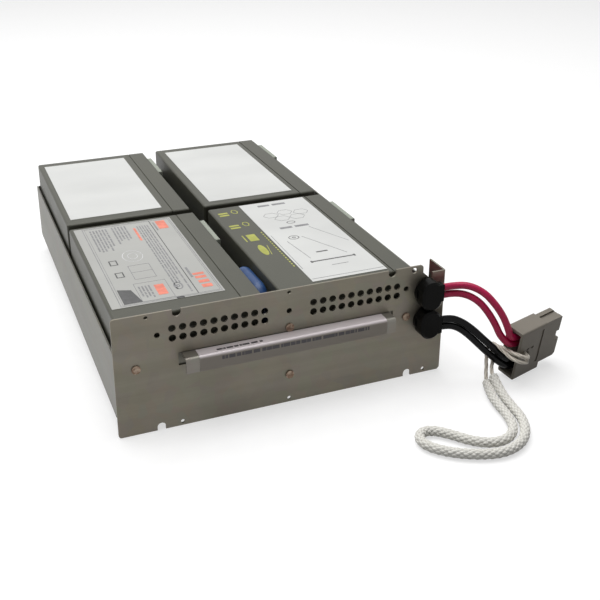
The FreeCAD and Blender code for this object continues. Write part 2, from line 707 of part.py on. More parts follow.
def connector_housing():
    body = doc.addObject("PartDesign::Body", "connector_housing")
    body.Label = "connector_housing"
    lay_plug(body)
    parts.append(body)
    side = new_sketch(body, "XZ")
    rectangle(side, "0", "0", "plug_back", "plug_width")
    pad(body, side, "plug_thick", flipped=True)
    round_edges(body, "plug_step", lambda e: flat(e, "x"))
    round_edges(body, "plug_step / 2", lambda e: near(middle(e).x, "0"))

    nose = new_sketch(body, "XZ", "plug_step")
    tip = "plug_length + plug_longer"
    notch = "plug_length - nose_gap_depth"
    polygon(nose, [
        ("plug_back / 2", "plug_foot"), (tip + " - nose_bevel", "plug_foot"), (tip, "plug_foot + nose_bevel"),
        (tip, "nose_gap_height"), (notch, "nose_gap_height"), (notch, "nose_gap_height + nose_gap"),
        ("plug_length", "nose_gap_height + nose_gap"), ("plug_length", "plug_width - plug_step - nose_bevel / 2"),
        ("plug_length - nose_bevel / 2", "plug_width - plug_step"), ("plug_back / 2", "plug_width - plug_step"),
    ])
    pad(body, nose, "plug_thick - 2 * plug_step", flipped=True)
    round_edges(body, "plug_step / 2", lambda e: flat(e, "z") and middle(e).x > number("plug_length") - 0.01,
                "PartDesign::Chamfer")

    for pole in POLES:
        entry = new_sketch(body, "YZ")
        rectangle(entry, "(plug_thick - entry_thick) / 2", pole + " - entry_width / 2", "entry_thick", "entry_width")
        pocket(body, entry, "entry_depth", flipped=True)
    for pole, end in zip(POLES, TIPS):
        socket = new_sketch(body, "YZ", end)
        rectangle(socket, "(plug_thick - socket_thick) / 2", pole + " - socket_width / 2",
                  "socket_thick", "socket_width")
        pocket(body, socket, "socket_depth")
    eye = new_sketch(body, "XZ")
    circle(eye, "eye_along", "plug_width / 2", "eye_radius")
    pocket(body, eye)
    keyway = new_sketch(body, "YZ", "plug_length")
    rectangle(keyway, "(plug_thick - keyway_width) / 2", "plug_width - plug_step - keyway_depth",
              "keyway_width", "keyway_depth + 1")
    pocket(body, keyway, "keyway_length")
    marks = new_sketch(body, "XZ")
    for x in ("plug_back / 2 - 2 * relief_mark", "plug_back / 2"):
        rectangle(marks, x, "plug_width * 0.58", "relief_mark", "relief_mark * 0.75")
    rectangle(marks, "plug_back - 2 * relief_mark", "plug_width / 5", "relief_mark", "plug_width * 0.7")
    pocket(body, marks, "relief_mark_depth")
    return body


POLES = ("(plug_width / 2 - pole_offset)", "(plug_width / 2 + pole_offset)")
TIPS = ("plug_length + plug_longer", "plug_length")


def connector_contacts():
    """A flat blade on the floor of each contact chamber."""
    blades = []
    for k, (pole, end) in enumerate(zip(POLES, TIPS)):
        blade = doc.addObject("Part::Box", "contact_%d" % k)
        for size, text in (("Length", "contact_length"), ("Width", "contact_thick"), ("Height", "contact_width")):
            blade.setExpression(size, cell(text))
        lay_plug(blade, end + " - socket_depth", "(plug_thick - contact_thick) / 2", pole + " - contact_width / 2")
        blades.append(blade)
    return group("connector_contacts", blades)


# ---------------------------------------------------------------------------------------------------
# Leads and ropes: straight runs joined by tangent arcs, through points chosen by hand on the cartridge
def route(points, bend=None):
    """The wire through the points. Without a bend radius each arc is as large as its runs allow."""
    at = [Vector(*p) for p in points]
    edges, start, tightest = [], at[0], math.inf
    for before, corner, after in zip(at, at[1:], at[2:]):
        back, ahead = before - corner, after - corner
        half = (math.pi - back.getAngle(ahead)) / 2
        reach = 0.45 * min(back.Length, ahead.Length)
        if bend:
            reach = bend * math.tan(half)
        tightest = min(tightest, reach / math.tan(half))
        back.normalize()
        ahead.normalize()
        first, last = corner + back * reach, corner + ahead * reach
        inward = (back + ahead).normalize()
        radius = reach / math.tan(half)
        top = corner + inward * (radius / math.cos(half) - radius)
        edges += [Part.LineSegment(start, first).toShape(), Part.Arc(first, top, last).toShape()]
        start = last
    edges.append(Part.LineSegment(start, at[-1]).toShape())
    return edges, tightest


def tube(edges, radius):
    """A round bar along a wire."""
    wire = Part.Wire(edges)
    first = edges[0]
    ring = Part.Wire(Part.Circle(first.firstVertex().Point, first.tangentAt(first.FirstParameter), radius).toShape())
    return wire, wire.makePipeShell([ring], True, False)


def cord(label, points, radius, bend=None, start=0.0):
    edges, tightest = route([(start + x, y, z) for x, y, z in points], bend)
    wire, solid = tube(edges, number(radius))
    expected = wire.Length * math.pi * number(radius) ** 2
    error = solid.Volume / expected - 1
    print("%-18s length %6.1f  tightest bend %5.1f  volume %+.2f %%" % (label, wire.Length, tightest, 100 * error))
    if abs(error) > 0.01:
        raise ValueError("the volume of %s is wrong" % label)
    return keep(label, solid), edges


def keep(label, shape):
    feature = doc.addObject("Part::Feature", label)
    feature.Label = label
    feature.Shape = shape
    place(feature)
    parts.append(feature)
    return feature


def sleeve(label, edges, radius):
    """A tube that fits over a stretch of a lead."""
    outer = tube(edges, number(radius))[1]
    bore = tube(edges, number("lead_radius + sleeve_play"))[1]
    return keep(label, outer.cut(bore))


# Faces and rows that the inner leads keep to: their lane beside the left lids, the one beside the right
# lids, the gap between the rows, and the terminals' height and places.
LANE = number("left_column + battery_tall") + 5.9
LIDS = number("right_lids")
GAP = number("rear_row - row_gap / 2")
RELIEF = number("relief_column")
LOW = number("tray_bottom + tray_sheet + terminal_height")
FIRST = number("front_row + terminal_inset")
SECOND = number("front_row + battery_length - terminal_inset")
THIRD = number("rear_row + terminal_inset")
FOURTH = number("rear_row + battery_length - terminal_inset")
NECK = number("neck_end")
INNER_LEADS = {
    "blue_link_left": (6.0, [
        (LANE, FIRST, LOW + 6.5), (LANE, FIRST, 58.5), (LANE, 27.0, 70.4), (LANE, 54.0, 69.6), (LANE, 76.0, 60.0),
        (LANE, FOURTH, 59.0), (LANE, FOURTH, LOW + 6.5),
    ]),
    "blue_link_right": (6.0, [
        (LIDS + 5.7, FIRST + 6.5, LOW), (LIDS + 5.7, 33.0, LOW), (LIDS + 13.3, 44.0, 17.5),
        (LIDS + 13.3, FOURTH - 28.2, 17.5), (LIDS + 5.7, FOURTH - 17.0, LOW), (LIDS + 5.7, FOURTH - 6.5, LOW),
    ]),
    "black_lead_left": (7.6, [
        (LANE, SECOND + 6.5, LOW), (LANE, GAP, LOW), (LANE + 18.1, GAP, 30.0), (LIDS + 10.2, GAP, 34.0),
        (LIDS + 10.2, 20.0, 41.0), (LIDS + 10.2, NECK, 41.0),
    ]),
    "black_lead_right": (7.6, [
        (LIDS + 5.0, THIRD, LOW + 6.5), (LIDS + 5.0, THIRD, 43.4), (LIDS + 5.0, 20.0, 41.0), (LIDS + 5.0, NECK, 41.0),
    ]),
    "red_lead_left": (6.6, [
        (LANE, THIRD, LOW + 6.5), (LANE, THIRD, 46.0), (LANE, GAP, 48.0), (LIDS + 5.0, GAP, 60.0),
        (LIDS + 5.0, 20.0, 62.6), (LIDS + 5.0, NECK, 62.6),
    ]),
    "red_lead_right": (12.0, [
        (LIDS + 5.7, SECOND - 6.5, LOW), (LIDS + 5.7, SECOND - 16.0, LOW), (LIDS + 16.1, 106.0, 30.0),
        (LIDS + 16.1, 66.0, 51.0), (LIDS + 10.2, 26.0, 62.6), (LIDS + 10.2, NECK, 62.6),
    ]),
}

# Outside the panel, x is measured from the strain reliefs' column.
OUTER_LEADS = {
    "red_lead_upper": [
        (8.5, -8.0, 66.9), (16.4, -8.0, 66.9), (25.4, -12.6, 67.4), (33.0, -19.0, 63.8), (38.0, -24.5, 57.4),
        (42.2, -28.9, 49.8), (45.0, -31.7, 41.6), (47.43, -32.93, 32.82), (55.62, -30.88, 33.24),
    ],
    "red_lead_lower": [
        (8.5, -8.0, 61.5), (16.8, -8.0, 61.5), (24.6, -12.8, 60.8), (30.8, -18.5, 56.8), (35.2, -23.2, 50.0),
        (39.0, -26.6, 42.2), (41.9, -28.5, 34.4), (48.33, -31.68, 27.26), (55.65, -29.85, 27.63),
    ],
    "black_lead_upper": [
        (8.5, -8.0, 43.1), (15.4, -8.0, 43.1), (22.0, -11.8, 41.0), (28.2, -16.4, 36.2), (34.2, -20.8, 29.8),
        (40.4, -24.6, 23.4), (49.38, -28.97, 13.84), (55.72, -27.38, 14.16),
    ],
    "black_lead_lower": [
        (8.5, -8.0, 37.9), (15.0, -8.0, 37.9), (21.2, -12.0, 35.5), (27.0, -16.4, 30.6), (32.4, -20.6, 24.0),
        (38.4, -24.2, 17.2), (49.41, -27.99, 8.52), (55.75, -26.4, 8.85),
    ],
}

PULL_ROPE = [
    (35.0, -34.6, 8.6), (32.6, -46.6, 4.6), (31.0, -61.0, 3.3), (29.2, -76.4, 3.3), (22.3, -90.0, 3.3),
    (11.6, -98.9, 3.3), (-2.1, -102.0, 3.3), (-16.0, -98.6, 3.3), (-29.2, -91.6, 3.3), (-39.6, -81.4, 3.3),
    (-41.0, -68.4, 3.3), (-30.2, -64.2, 3.3), (-21.6, -73.6, 3.3), (-13.4, -85.0, 3.3), (-2.8, -91.7, 3.3),
    (9.1, -91.2, 3.3), (18.4, -83.2, 3.3), (22.6, -69.8, 3.3), (23.9, -54.8, 3.3), (27.4, -42.6, 3.3),
    (31.8, -32.6, 3.3),
]

PULL_STRANDS = {
    "pull_strand_upper": [
        (35.0, -34.6, 8.6), (35.93, -29.94, 10.15), (43.0, -21.6, 11.2), (43.8, -15.8, 19.6), (43.4, -19.4, 27.0),
        (44.4, -29.6, 25.6), (46.8, -37.6, 25.2), (51.8, -42.2, 24.8), (57.8, -43.4, 22.6), (60.45, -39.11, 20.57),
        (58.10, -30.06, 22.22),
    ],
    "pull_strand_lower": [
        (31.8, -32.6, 3.3), (33.81, -28.02, 3.3), (39.0, -20.2, 9.4), (39.4, -14.6, 18.6), (38.8, -17.4, 31.6),
        (40.2, -31.2, 30.0), (43.8, -38.2, 24.0), (49.4, -42.6, 20.6), (56.4, -43.6, 18.8), (60.46, -38.62, 17.82),
        (58.11, -29.56, 19.47),
    ],
}


# ---------------------------------------------------------------------------------------------------
def rivets():
    """Rivets through the panel and the tray's front wall. The one at the handle also holds its leg."""
    made = []
    for k, (x, z) in enumerate(RIVETS):
        grip = "panel_sheet + tray_sheet" + (" + handle_sheet" if z == "rivet_high" else "")
        pieces = []
        for radius, start, length in (
            ("rivet_head", "-rivet_dome", "rivet_dome"), ("rivet_radius", "0", grip),
            ("rivet_head * 0.8", grip, "rivet_tail"),
        ):
            disc = doc.addObject("Part::Cylinder", "rivet_disc")
            disc.Placement.Rotation = Rotation(Vector(1, 0, 0), -90)
            disc.setExpression("Radius", cell(radius))
            disc.setExpression("Height", cell(length))
            place(disc, x, start, z)
            pieces.append(disc)
        rivet = doc.addObject("Part::MultiFuse", "rivet_%d" % k)
        rivet.Shapes = pieces
        made.append(rivet)
    return group("panel_rivets", made)


tray()
front_panel()
handle_strip("pull_handle", "handle_left", "handle_length", "handle_sheet", "", True)
handle_strip("handle_band", "handle_left + band_left", "band_length", "band_film", " + band_film", False)
rivets()
for name in BATTERIES:
    battery_case(name)
    battery_lid(name)
    vent_cover(name)
    terminals(name)
    battery_label(name)
    spacer_pad(name)
terminal_boots()
strain_relief("upper_strain_relief", "relief_high", "outlet_high")
strain_relief("lower_strain_relief", "relief_low", "outlet_low")
connector_housing()
connector_contacts()
for name, (bend, points) in INNER_LEADS.items():
    made, edges = cord(name, points, "lead_radius", bend)
    if name == "blue_link_left":
        sleeve("blue_sleeve", edges[2:6], "sleeve_radius")
for name, points in OUTER_LEADS.items():
    cord(name, points, "lead_radius", start=RELIEF)
cord("pull_rope", PULL_ROPE, "rope_radius", start=RELIEF)
for name, points in PULL_STRANDS.items():
    cord(name, points, "strand_radius", start=RELIEF)

doc.recompute()
for thing in doc.Objects:
    if "Invalid" in thing.State or "Error" in thing.State:
        raise ValueError("%s did not recompute" % thing.Label)
os.makedirs("parts", exist_ok=True)
for part in parts:
    if part.Shape.isNull() or not part.Shape.isValid():
        raise ValueError("%s has no sound shape" % part.Label)
    part.Shape.exportStep("parts/%s.step" % part.Label)
print(len(parts), "sub-parts")
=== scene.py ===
import math
import random
import bmesh
import bpy
from mathutils import Matrix, Vector


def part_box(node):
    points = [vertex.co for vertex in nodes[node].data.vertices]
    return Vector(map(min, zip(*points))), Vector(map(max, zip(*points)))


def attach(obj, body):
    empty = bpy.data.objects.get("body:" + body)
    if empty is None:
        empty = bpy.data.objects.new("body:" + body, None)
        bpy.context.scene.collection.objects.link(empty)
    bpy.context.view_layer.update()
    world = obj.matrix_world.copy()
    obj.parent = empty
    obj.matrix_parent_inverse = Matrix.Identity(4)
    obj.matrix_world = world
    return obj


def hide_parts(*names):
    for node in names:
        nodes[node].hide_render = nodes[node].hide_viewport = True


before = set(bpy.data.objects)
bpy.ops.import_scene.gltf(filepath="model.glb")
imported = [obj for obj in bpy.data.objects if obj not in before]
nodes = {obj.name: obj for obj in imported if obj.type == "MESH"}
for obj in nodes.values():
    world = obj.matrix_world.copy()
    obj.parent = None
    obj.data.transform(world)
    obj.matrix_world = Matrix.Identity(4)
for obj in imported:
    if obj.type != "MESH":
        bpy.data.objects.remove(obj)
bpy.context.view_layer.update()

MM = 0.001


# ---------------------------------------------------------------------------------------------------
# Camera, floor and lights: the cartridge stands on a white table, seen from its front left corner and
# above, in soft light from overhead and from the left. The routes below are in millimetres from the
# panel's lower left corner, which lies at CORNER.
CORNER = Vector((-112.2, -152.15, 0.0))
RELIEF_COLUMN = 209.6


def at(x, y, z):
    """A point on the cartridge, from the panel's lower left corner, in metres."""
    return (CORNER + Vector((x, y, z))) * MM


def outside(x, y, z):
    """A point of the leads and ropes outside the panel, x from the strain reliefs' column, in metres."""
    return at(RELIEF_COLUMN + x, y, z)


def add_camera():
    lens = bpy.data.cameras.new("camera")
    lens.sensor_width = 36.0
    lens.lens = 55.75
    lens.shift_x = 0.0467
    lens.shift_y = -0.1417
    lens.clip_start = 0.01
    right = Vector((0.93287, -0.36015, -0.00656)).normalized()
    ahead = Vector((0.33245, 0.86784, -0.36922)).normalized()
    up = right.cross(ahead)
    camera = bpy.data.objects.new("camera", lens)
    turn = Matrix((right, up, -ahead)).transposed()
    camera.matrix_world = Matrix.Translation(at(-82.77, -480.44, 336.84)) @ turn.to_4x4()
    bpy.context.scene.collection.objects.link(camera)
    bpy.context.scene.camera = camera


def add_light(name, place, target, size, power):
    lamp = bpy.data.lights.new(name, "AREA")
    lamp.shape = "RECTANGLE"
    lamp.size, lamp.size_y = size
    lamp.energy = power
    light = bpy.data.objects.new(name, lamp)
    way = Vector(target) - Vector(place)
    light.matrix_world = Matrix.Translation(place) @ way.to_track_quat("-Z", "Y").to_matrix().to_4x4()
    bpy.context.scene.collection.objects.link(light)


def shader(name):
    """A new node material: its tree and its Principled shader."""
    made = bpy.data.materials.new(name)
    made.use_nodes = True
    return made, made.node_tree, made.node_tree.nodes["Principled BSDF"]


def node(tree, kind, inputs=None, **settings):
    """A shader node with its settings, and with each input linked or set."""
    made = tree.nodes.new("ShaderNode" + kind)
    for key, value in settings.items():
        setattr(made, key, value)
    for key, value in (inputs or {}).items():
        if isinstance(value, bpy.types.NodeSocket):
            tree.links.new(value, made.inputs[key])
        else:
            made.inputs[key].default_value = value
    return made


def ramp(tree, factor, *stops):
    """A colour ramp over the factor. A stop is a position and a grey level or a colour."""
    made = node(tree, "ValToRGB", {"Fac": factor})
    elements = made.color_ramp.elements
    while len(elements) < len(stops):
        elements.new(0.5)
    for element, (position, colour) in zip(elements, stops):
        element.position = position
        grey = isinstance(colour, float)
        element.color = (colour, colour, colour, 1.0) if grey else (*colour, 1.0)
    return made.outputs["Color"]


def stretched(tree, scale):
    """The object's own coordinates, stretched."""
    place = node(tree, "TexCoord").outputs["Object"]
    return node(tree, "Mapping", {"Vector": place, "Scale": scale}).outputs["Vector"]


def noise(tree, scale, detail=4.0, stretch=(1.0, 1.0, 1.0), roughness=0.5):
    """Noise over the object, stretched along an axis where stretch is small there."""
    inputs = {"Vector": stretched(tree, stretch), "Scale": scale, "Detail": detail, "Roughness": roughness}
    return node(tree, "TexNoise", inputs).outputs["Fac"]


def joined(tree, operation, *values):
    """The values joined by one step of arithmetic."""
    return node(tree, "Math", dict(enumerate(values)), operation=operation).outputs[0]


def vary(tree, surface, socket, factor, *stops):
    """Let a colour ramp over the factor drive one of the shader's sockets."""
    tree.links.new(ramp(tree, factor, *stops), surface.inputs[socket])


def bump(tree, surface, height, strength, distance):
    made = node(tree, "Bump", {"Height": height, "Strength": strength, "Distance": distance})
    tree.links.new(made.outputs["Normal"], surface.inputs["Normal"])


def finish_surface(surface, **values):
    """Set the shader's own sockets, named with _ for a space."""
    for key, value in values.items():
        surface.inputs[key.replace("_", " ")].default_value = value


def dress(material, *names):
    """Give CAD nodes a material."""
    for name in names:
        mesh = nodes[name].data
        mesh.materials.clear()
        mesh.materials.append(material)


def seen_strength(tree, plain, seen):
    """A strength that is plain as light on the object, and seen where it shows directly or mirrored."""
    sight = node(tree, "LightPath").outputs
    mirrored = joined(tree, "ADD", sight["Is Glossy Ray"], sight["Is Transmission Ray"])
    shown = joined(tree, "ADD", sight["Is Camera Ray"], mirrored)
    return node(tree, "MapRange", {"Value": shown, "To Min": plain, "To Max": seen}).outputs[0]


def add_floor():
    """A wide table top, a hair under the panel's lower edge."""
    bpy.ops.mesh.primitive_plane_add(size=12.0, location=(0.0, 0.0, -0.4 * MM))
    floor = bpy.context.object
    floor.name = "floor"
    made, tree, surface = shader("white_table")
    vary(tree, surface, "Base Color", noise(tree, 90.0), (0.3, 0.40), (0.7, 0.425))
    tree.links.new(seen_strength(tree, 0.0, 0.61), surface.inputs["Emission Strength"])
    finish_surface(surface, Roughness=0.8, Emission_Color=(1.0, 1.0, 1.0, 1.0))
    floor.data.materials.append(made)


add_camera()
add_floor()
add_light("overhead", (-0.1, 0.25, 1.5), (0.0, 0.0, 0.0), (1.6, 1.6), 32.0)
add_light("left_softbox", (-1.3, 0.1, 0.7), (0.0, 0.0, 0.05), (1.2, 0.9), 2.8)
world = bpy.data.worlds.new("studio")
world.use_nodes = True
backdrop = world.node_tree.nodes["Background"].inputs
backdrop["Color"].default_value = (1.0, 1.0, 1.0, 1.0)
world.node_tree.links.new(seen_strength(world.node_tree, 0.10, 1.0), backdrop["Strength"])
bpy.context.scene.world = world
bpy.context.scene.view_settings.view_transform = "Standard"


# ---------------------------------------------------------------------------------------------------
# Tray and front panel: zinc-coated sheet steel, folded, with the panel riveted to the tray's front
# wall. The sheet was rolled along its length, so it has fine streaks, a faint spangle and scuffs.
FRONT_TO_REAR = (1.0, 0.04, 1.0)
LEFT_TO_RIGHT = (0.04, 1.0, 1.0)


def mixed(tree, factor, first, second, blend="MIX"):
    inputs = {"Fac": factor, "Color1": first, "Color2": second}
    return node(tree, "MixRGB", inputs, blend_type=blend).outputs[0]


def zinc_steel(name, dark, light, rolled):
    """Zinc-coated sheet, streaked the way it was rolled."""
    made, tree, surface = shader(name)
    streaks = noise(tree, 60.0, 6.0, rolled, 0.65)
    grains = {"Vector": stretched(tree, (1.0, 1.0, 1.0)), "Scale": 120.0}
    spangle = node(tree, "TexVoronoi", grains).outputs["Color"]
    patches = noise(tree, 14.0, 5.0, (1.0, 1.0, 1.0), 0.6)
    tone = ramp(tree, streaks, (0.30, dark), (0.72, light))
    mottled = mixed(tree, 0.03, tone, spangle, "OVERLAY")
    worn = ramp(tree, patches, (0.25, 0.84), (0.55, 1.0), (0.85, 1.10))
    tree.links.new(mixed(tree, 1.0, mottled, worn, "MULTIPLY"), surface.inputs["Base Color"])
    vary(tree, surface, "Roughness", streaks, (0.2, 0.36), (0.8, 0.52))
    finish_surface(surface, Metallic=0.75)
    bump(tree, surface, streaks, 0.12, 0.4 * MM)
    return made


dress(zinc_steel("tray_steel", (0.130, 0.126, 0.107), (0.180, 0.175, 0.150), FRONT_TO_REAR), "tray")
dress(zinc_steel("panel_steel", (0.165, 0.150, 0.118), (0.222, 0.204, 0.165), LEFT_TO_RIGHT), "front_panel")


# ---------------------------------------------------------------------------------------------------
# Pull handle and its band: a folded strip of the same sheet, and silver film wrapped over its shelf and
# lip. Its colour is painted bright on the shelf as painted light from overhead, and dull on the lip as
# painted shade. The film is slightly wrinkled, and its print is kept as rows of plain dashes.
dress(zinc_steel("handle_steel", (0.17, 0.16, 0.14), (0.24, 0.225, 0.20), LEFT_TO_RIGHT), "pull_handle")


def film(name, colour, wrinkle, roughness):
    made, tree, surface = shader(name)
    cloud = noise(tree, 22.0, 3.0, (0.5, 1.0, 1.0), 0.5)
    dim = tuple(0.9 * c for c in colour)
    vary(tree, surface, "Base Color", cloud, (0.35, dim), (0.65, colour))
    vary(tree, surface, "Roughness", cloud, (0.3, roughness), (0.7, roughness + 0.1))
    bump(tree, surface, cloud, wrinkle, 0.6 * MM)
    return made, surface


def within(tree, *ranges):
    """1 where every value lies between its two limits, and 0 elsewhere."""
    inside = 1.0
    for value, low, high in ranges:
        here = joined(tree, "COMPARE", value, (low + high) / 2, (high - low) / 2)
        inside = joined(tree, "MULTIPLY", inside, here)
    return inside


def silver_band():
    made, surface = film("band_film", (0.68, 0.62, 0.635), 0.25, 0.30)
    tree = made.node_tree
    low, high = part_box("handle_band")
    x, y, z = node(tree, "SeparateXYZ", {"Vector": stretched(tree, (1.0, 1.0, 1.0))}).outputs
    # Painted light and shade: the film's colour turns from the dull lip tone to the bright shelf tone just
    # behind the lip's face, over the bend and onto the shelf.
    fold = {"Value": y, "From Min": low.y + 0.1 * MM, "From Max": low.y + 0.8 * MM}
    painted_shelf_light = node(tree, "MapRange", fold).outputs[0]
    on_shelf = surface.inputs["Base Color"].links[0].from_socket
    lip_painted_shade = (0.215, 0.19, 0.16, 1.0)
    silver = mixed(tree, painted_shelf_light, lip_painted_shade, on_shelf)
    across_only = (560.0, 0.01, 0.01)
    dashes = ramp(tree, noise(tree, 1.0, 1.0, across_only), (0.40, 0.0), (0.44, 1.0))
    lip_row = within(tree, (x, low.x + 14 * MM, high.x - 12 * MM), (y, low.y - MM, low.y + 0.3 * MM),
                     (z, high.z - 4.6 * MM, high.z - 2.2 * MM))
    shelf_row = within(tree, (x, low.x + 12 * MM, low.x + 42 * MM), (y, low.y + 3.6 * MM, low.y + 5.6 * MM))
    printed = joined(tree, "MULTIPLY", joined(tree, "MAXIMUM", lip_row, shelf_row), dashes)
    tree.links.new(mixed(tree, printed, silver, (0.05, 0.045, 0.05, 1.0)), surface.inputs["Base Color"])
    finish_surface(surface, Metallic=0.12)
    return made


dress(silver_band(), "handle_band")


# ---------------------------------------------------------------------------------------------------
# Rivets: four rivets of plated steel, set through the panel and the tray's front wall, and one of them
# through the handle's leg too. Their heads are tinted coppery red in fine spots, as a painted reflection of
# the red leads.
def plated(name, dark, light, scale, metallic, roughness, full=0.7):
    """Plated metal, worn in fine spots: full is where the noise reaches the light tone."""
    made, tree, surface = shader(name)
    vary(tree, surface, "Base Color", noise(tree, scale), (0.4, dark), (full, light))
    finish_surface(surface, Metallic=metallic, Roughness=roughness)
    return made


# Painted reflection: the coppery red tones stand for the red leads mirrored in the rivet heads.
rivet_painted_reflection = plated("rivet_metal", (0.15, 0.095, 0.065), (0.32, 0.25, 0.19), 420.0, 0.8, 0.38, full=0.62)
dress(rivet_painted_reflection, "panel_rivets")


# ---------------------------------------------------------------------------------------------------
# Battery cases, lids and vent covers: dark grey ABS, moulded with a fine even texture, with faint
# handling marks. The lid is a separate moulding glued on the case, and the vent cover is welded on it.
def moulded(name, dark, light, roughness, grain=900.0, shine=0.5):
    made, tree, surface = shader(name)
    patches = noise(tree, 18.0, 4.0, (1.0, 1.0, 1.0), 0.55)
    fine = noise(tree, grain, 2.0)
    vary(tree, surface, "Base Color", patches, (0.3, dark), (0.75, light))
    vary(tree, surface, "Roughness", patches, (0.25, roughness - 0.05), (0.8, roughness + 0.06))
    finish_surface(surface, Specular_IOR_Level=shine)
    bump(tree, surface, fine, 0.18, 0.2 * MM)
    return made


BATTERIES = ("front_left", "front_right", "rear_left", "rear_right")
case_plastic = moulded("case_plastic", (0.049, 0.049, 0.036), (0.068, 0.068, 0.051), 0.42, shine=0.3)
lid_plastic = moulded("lid_plastic", (0.050, 0.050, 0.037), (0.069, 0.069, 0.052), 0.44, shine=0.3)
for battery in BATTERIES:
    dress(case_plastic, battery + "_case")
    dress(lid_plastic, battery + "_lid", battery + "_vent_cover")


# ---------------------------------------------------------------------------------------------------
# Battery labels: smooth film, plain white on three batteries and silver-grey on the front left one.
# Their print is kept as borders, dashes, bars, rings and fields of colour, in ink INK mm thick.
INK = 0.05
white_film = film("white_film", (0.60, 0.605, 0.59), 0.015, 0.4)[0]
silver_film = film("silver_film", (0.38, 0.38, 0.36), 0.03, 0.36)[0]
dress(white_film, "front_right_label", "rear_left_label", "rear_right_label")
dress(silver_film, "front_left_label")


def ink(name, colour):
    made, tree, surface = shader(name)
    worn = noise(tree, 260.0, 3.0)
    pale = tuple(min(1.0, 1.25 * c + 0.02) for c in colour)
    vary(tree, surface, "Base Color", worn, (0.4, colour), (0.7, pale))
    finish_surface(surface, Roughness=0.4)
    return made


def ring_points(x, y, radius_x, radius_y, count):
    """Points of an ellipse, anticlockwise."""
    turns = [2 * math.pi * k / count for k in range(count)]
    return [(x + radius_x * math.cos(t), y + radius_y * math.sin(t)) for t in turns]


class Print:
    """Ink on a flat film, as closed shapes. Their sizes are in mm from the film's front left corner."""

    def __init__(self, label, inks, depth=0.0):
        low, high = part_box(label)
        self.corner = Vector((low.x, low.y, high.z - depth * MM))
        self.mesh = bmesh.new()
        self.inks = inks

    def point(self, x, y, height):
        return self.mesh.verts.new(self.corner + Vector((x, y, height)) * MM)

    def shape(self, outline, ink_name):
        """A filled convex outline."""
        bottom = [self.point(x, y, 0.0) for x, y in outline]
        top = [self.point(x, y, INK) for x, y in outline]
        self.wall(bottom, top, ink_name)
        self.face(top, ink_name)
        self.face(bottom[::-1], ink_name)

    def band(self, outer, inner, ink_name):
        """The area between two outlines with as many points."""
        rings = [[self.point(x, y, z) for x, y in line] for line, z in
                 ((outer, 0.0), (outer, INK), (inner, INK), (inner, 0.0))]
        for first, second in zip(rings, rings[1:] + rings[:1]):
            self.wall(first, second, ink_name)

    def wall(self, low, high, ink_name):
        count = len(low)
        for k in range(count):
            self.face([low[k], low[(k + 1) % count], high[(k + 1) % count], high[k]], ink_name)

    def face(self, corners, ink_name):
        self.mesh.faces.new(corners).material_index = list(self.inks).index(ink_name)

    def bar(self, x0, y0, x1, y1, ink_name):
        self.shape([(x0, y0), (x1, y0), (x1, y1), (x0, y1)], ink_name)

    def line(self, x0, y0, x1, y1, width, ink_name):
        length = math.hypot(x1 - x0, y1 - y0)
        dx, dy = (y1 - y0) / length * width / 2, (x0 - x1) / length * width / 2
        sides = [(x0 - dx, y0 - dy), (x0 + dx, y0 + dy), (x1 + dx, y1 + dy), (x1 - dx, y1 - dy)]
        self.shape(sides, ink_name)

    def frame(self, x0, y0, x1, y1, width, ink_name):
        outer = [(x0, y0), (x1, y0), (x1, y1), (x0, y1)]
        left, right, front, rear = x0 + width, x1 - width, y0 + width, y1 - width
        inner = [(left, front), (right, front), (right, rear), (left, rear)]
        self.band(outer, inner, ink_name)

    def oval(self, x, y, radius_x, radius_y, width, ink_name, corners=28):
        outer = ring_points(x, y, radius_x, radius_y, corners)
        inner = ring_points(x, y, radius_x - width, radius_y - width, corners)
        self.band(outer, inner, ink_name)

    def rows(self, x0, x1, y0, y1, count, ink_name, draw):
        """Rows of dashes 2.5 to 9 mm long, running down from y1 to about y0, side by side over x."""
        pitch = (x1 - x0) / count
        half = 0.26 * pitch
        for k in range(count):
            x = x0 + (k + 0.5) * pitch
            y = y1
            end = y0 + draw.uniform(0.0, 0.25) * (y1 - y0)
            while y > end + 1.5:
                step = min(draw.uniform(2.5, 9.0), y - end)
                self.bar(x - half, y - step, x + half, y, ink_name)
                y -= step + draw.uniform(0.7, 1.3)

    def done(self, name):
        made = bpy.data.meshes.new(name)
        bmesh.ops.recalc_face_normals(self.mesh, faces=self.mesh.faces)
        self.mesh.to_mesh(made)
        self.mesh.free()
        for material in self.inks.values():
            made.materials.append(material)
        piece = bpy.data.objects.new(name, made)
        bpy.context.scene.collection.objects.link(piece)
        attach(piece, "root")


inks = {
    "black": ink("ink_black", (0.035, 0.035, 0.035)),
    "grey": ink("ink_grey", (0.17, 0.17, 0.175)),
    "red": ink("ink_red", (0.62, 0.16, 0.10)),
    "pale": ink("ink_pale", (0.52, 0.52, 0.53)),
    "lime": ink("ink_lime", (0.30, 0.31, 0.03)),
}
draw = random.Random(7)
silver = Print("front_left_label", inks)
silver.frame(5.6, 1.4, 70.4, 131.8, 0.5, "grey")
silver.frame(7.2, 2.8, 69.2, 130.6, 0.3, "grey")
silver.line(55.0, 2.8, 55.0, 130.6, 0.6, "black")
silver.rows(9.5, 23.0, 84.0, 127.0, 6, "grey", draw)
silver.rows(25.5, 37.0, 96.0, 128.0, 5, "grey", draw)
silver.bar(41.0, 97.0, 42.6, 121.0, "red")
silver.rows(43.5, 53.0, 6.0, 124.0, 5, "grey", draw)
silver.bar(59.0, 113.0, 66.0, 128.5, "red")
silver.bar(56.6, 111.0, 57.8, 127.0, "grey")
for k, low in enumerate((9.0, 16.0, 23.0, 28.5)):
    silver.bar(60.0 - 0.3 * k, low, 66.6, low + 4.6 - 0.5 * k, "red")
silver.bar(57.0, 26.0, 58.6, 42.0, "grey")
